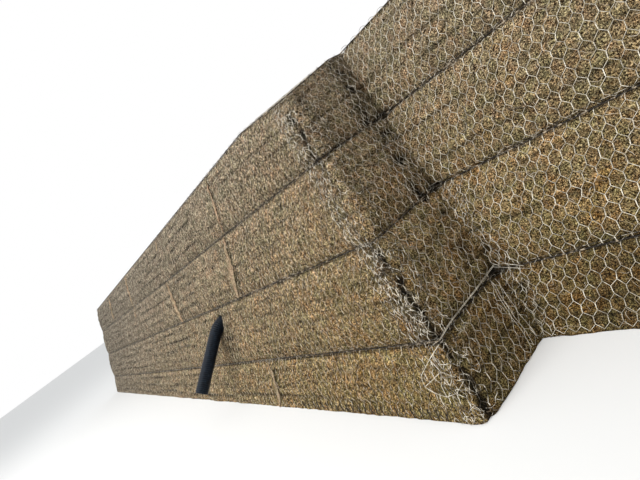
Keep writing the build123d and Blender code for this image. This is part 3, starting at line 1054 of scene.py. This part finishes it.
hooks = []
rise = np.linspace(0, 1, 7)
arch = np.sin(rise * pi)
for past in np.arange(-2.2, -0.25, CELL_WIDTH):
    bow = 0.016 * arch + 0.010 * np.sin(past * 9)
    hooks.append(on_face("corner", 1, 0.010)(past + bow, low + 0.012 + 0.065 * rise, 0.008 * arch))
# Near-black wire as painted shadow of the mesh loops at the foot.
shadow_black_curl = worn("shadow_black_curl", 20.0, (
    (0.42, (0.008, 0.007, 0.006)), (0.50, (0.020, 0.017, 0.014)), (0.62, (0.060, 0.050, 0.040)),
))
wire_piece(threads("foot_curls", hooks, CURL_RADIUS, shadow_black_curl))

# Joint strips
# Where two baskets meet end to end, a ragged edge of straw-coloured lining is pinched out at the joint.
straw = new_material("straw_lining")[0]
fibrous(straw, (0.26, 0.175, 0.105), (0.46, 0.320, 0.200), (0.60, 0.46, 0.32), False, 0.45)
strips = bmesh.new()
for strip in STRIPS:
    course, low, high = strip[:3]
    tall = int((high - low) * FACE_REACH[course] / 0.02)
    bm, column, row = grid_of(5, tall)
    share = low + (high - low) * row / (tall - 1)
    line = line_of(share * 0.7, strip[3] + 0.37 * course)
    middle, wide, up = strip_at(strip, share)
    wide = wide * np.sqrt(np.sin(pi * np.clip(up, 0.02, 0.98))) * (1 + 0.4 * lumps(line, 0.07, 91))
    along = middle + 0.018 * lumps(line, 0.25, 92) + wide * (column / 4 - 0.5)
    points = on_face("front", course, 0.011)(along, share * FACE_REACH[course], 0 * along)
    for vertex, point in zip(bm.verts, points):
        vertex.co = point
    bmesh.ops.solidify(bm, geom=bm.faces[:], thickness=0.003)
    bmesh.ops.recalc_face_normals(bm, faces=bm.faces)
    part = bpy.data.meshes.new("strip")
    bm.to_mesh(part)
    bm.free()
    strips.from_mesh(part)
    bpy.data.meshes.remove(part)
strips = finished(strips, "joint_strips", straw)
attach(strips, BODY)

# Mat folds
# Near the top of the step the slack mat has rucked into small rolled folds.
FOLD_RADIUS = 0.0085

rolled = new_material("rolled_coir")[0]
fibrous(rolled, (0.05, 0.034, 0.020), (0.235, 0.165, 0.095), (0.56, 0.46, 0.31), False)
lines = []
rise = np.linspace(0, 1, 7)
for run, course, count, along in (
    ("corner", 4, 7, (0.12, 0.6)), ("stepped", 4, 9, (5.2, 6.6)),
    ("stepped", 3, 6, (5.6, 7.0)), ("corner", 3, 4, (0.2, 0.6)),
):
    drawn = curls(rng, count, along, (0.15, 0.65), 0.13, 0.05, 0.004, 7)
    arc = rise[None] * rng.choice((-1, 1), (count, 1)) * 0.045
    drawn = drawn[0] + arc * (1 - rise[None]), drawn[1] + arc ** 2 * 6, drawn[2]
    lines += laid(on_face(run, course, 0.003), drawn)
folds = threads("mat_folds", lines, FOLD_RADIUS, rolled)
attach(folds, BODY)

# Drain pipe
# Black corrugated plastic drain, 158 mm over its ribs, which lies level in the fill, comes out
# through the mat and bends down to an open outlet. The mat and the mesh are cut round it.
PIPE_FALL = radians(38)
PIPE_BEND = 0.300
PIPE_REACH = 0.334
KNEE_BEHIND_FOOT = 0.323
END_BEHIND_FOOT = 0.530
RIB_RADIUS = 0.079
RIB_DEPTH = 0.0055
RIB_PITCH = 0.024
BORE_RADIUS = 0.068
BURIED_FROM = 0.3
SIDES = 26

straight = (PIPE_REACH + KNEE_BEHIND_FOOT) / cos(PIPE_FALL) - PIPE_BEND * tan(PIPE_FALL / 2)
level = END_BEHIND_FOOT - KNEE_BEHIND_FOOT - PIPE_BEND * tan(PIPE_FALL / 2)
PIPE_LENGTH = straight + PIPE_BEND * PIPE_FALL + level
OUTLET_HEIGHT = PIPE_HEIGHT - (PIPE_REACH + KNEE_BEHIND_FOOT) * tan(PIPE_FALL)


def pipe_skin(reach, radii):
    """A closed skin of rings round the pipe's centre line, at distances from its outlet."""
    fine = np.linspace(0, PIPE_LENGTH, 2000)
    fall = np.clip(PIPE_FALL - (fine - straight) / PIPE_BEND, 0, PIPE_FALL)
    step = fine[1]
    depth = FOOT - PIPE_REACH + np.concatenate([[0], np.cumsum(np.cos(fall[1:]) * step)])
    height = OUTLET_HEIGHT + np.concatenate([[0], np.cumsum(np.sin(fall[1:]) * step)])
    bm, column, row = grid_of(SIDES + 1, len(reach))
    at, radius = np.asarray(reach)[row], np.asarray(radii)[row]
    angle = column / SIDES * 2 * pi
    tilt = np.interp(at, fine, fall)
    points = np.stack([
        PIPE_X + radius * np.cos(angle),
        np.interp(at, fine, depth) - radius * np.sin(angle) * np.sin(tilt),
        np.interp(at, fine, height) + radius * np.sin(angle) * np.cos(tilt),
    ], 1)
    for vertex, point in zip(bm.verts, points):
        vertex.co = point
    bmesh.ops.remove_doubles(bm, verts=bm.verts, dist=1e-5)
    bmesh.ops.recalc_face_normals(bm, faces=bm.faces)
    return bm


plastic, tree, shader = new_material("drain_plastic")
scuffs = noise(
    tree, add_node(tree, "ShaderNodeTexCoord").outputs["Object"], 23.0, Detail=6.0, Roughness=0.7
)
tree.links.new(ramp(tree, scuffs, [
    (0.42, (0.002, 0.004, 0.008)), (0.60, (0.005, 0.011, 0.020)), (0.74, (0.032, 0.042, 0.054)),
]), shader.inputs["Base Color"])
tree.links.new(mapped(tree, scuffs, (0.35, 0.70), (0.30, 0.62)), shader.inputs["Roughness"])
shader.inputs["Specular IOR Level"].default_value = 0.17

outer = np.arange(0, PIPE_LENGTH, RIB_PITCH / 6)
ribs = RIB_RADIUS - RIB_DEPTH / 2 + RIB_DEPTH / 2 * np.clip(1.8 * np.cos(outer / RIB_PITCH * 2 * pi), -1, 1)
inner = np.linspace(outer[-1], 0, 14)
drain = finished(
    pipe_skin([*outer, *inner, 0], [*ribs, *(BORE_RADIUS + 0 * inner), ribs[0]]), "ribbed_drain", plastic
)
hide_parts("drain_pipe")
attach(drain, BODY)

hidden = np.linspace(BURIED_FROM, PIPE_LENGTH, 24)
plug = finished(
    pipe_skin([BURIED_FROM, *hidden, PIPE_LENGTH], [0, *(RIB_RADIUS + 0.0005 + 0 * hidden), 0]), "plug", coir
)
pierced = baskets[2, 4]
passage = pierced.modifiers.new("passage", "BOOLEAN")
passage.operation = "DIFFERENCE"
passage.solver = "EXACT"
passage.object = plug
cut = evaluated(pierced)
pierced.modifiers.clear()
pierced.data = cut
bpy.data.objects.remove(plug)

# Floor, light and camera
# A pale studio floor stands in for the ground, under a white sky and one wide soft lamp.
pale, _, shader = new_material("pale_floor")
shader.inputs["Base Color"].default_value = (0.82, 0.81, 0.79, 1)
shader.inputs["Roughness"].default_value = 0.9
bm = bmesh.new()
bmesh.ops.create_grid(bm, x_segments=1, y_segments=1, size=150)
floor = finished(bm, "floor", pale)

scene = bpy.context.scene
world = bpy.data.worlds.new("studio")
scene.world = world
world.use_nodes = True
tree = world.node_tree
sky = tree.nodes["Background"]
sky.inputs["Color"].default_value = (0.94, 0.97, 1.0, 1)
sky.inputs["Strength"].default_value = 0.85
white = add_node(tree, "ShaderNodeBackground", Color=(1, 1, 1, 1), Strength=1.0)
rays = add_node(tree, "ShaderNodeLightPath")
seen = reckoned(tree, "MAXIMUM", rays.outputs["Is Camera Ray"], rays.outputs["Is Glossy Ray"])
seen = reckoned(tree, "MAXIMUM", seen, rays.outputs["Is Transmission Ray"])
both = add_node(tree, "ShaderNodeMixShader", [
    (0, seen), (1, sky.outputs["Background"]), (2, white.outputs["Background"]),
])
tree.links.new(both.outputs["Shader"], tree.nodes["World Output"].inputs["Surface"])

LAMP_PLACE = Vector((2, -13, 11))
LAMP_TARGET = Vector((1, 0, 2))
lamp = bpy.data.lights.new("window", "AREA")
lamp.shape = "RECTANGLE"
lamp.size, lamp.size_y = 16, 10
lamp.energy = 2600
lamp_object = bpy.data.objects.new("window", lamp)
lamp_turn = (LAMP_PLACE - LAMP_TARGET).to_track_quat("Z", "Y")
lamp_object.matrix_world = Matrix.Translation(LAMP_PLACE) @ lamp_turn.to_matrix().to_4x4()
scene.collection.objects.link(lamp_object)

FOCAL_PIXELS = 487.9
PHOTO_WIDTH = 640
EYE = Vector((8.1423, -2.88458, 1.6836))
RIGHTWARD = Vector((0.487388, 0.649925, -0.583138))
UPWARD = Vector((0.248249, 0.537134, 0.806139))
FORWARD = Vector((-0.837153, 0.537666, -0.100449))
lens = bpy.data.cameras.new("camera")
lens.sensor_width = 36
lens.lens = FOCAL_PIXELS / PHOTO_WIDTH * lens.sensor_width
lens.clip_start, lens.clip_end = 0.05, 400
camera = bpy.data.objects.new("camera", lens)
turned = Matrix((RIGHTWARD, UPWARD, -FORWARD)).transposed()
camera.matrix_world = Matrix.Translation(EYE) @ turned.to_4x4()
scene.collection.objects.link(camera)
scene.camera = camera
scene.view_settings.view_transform = "Standard"
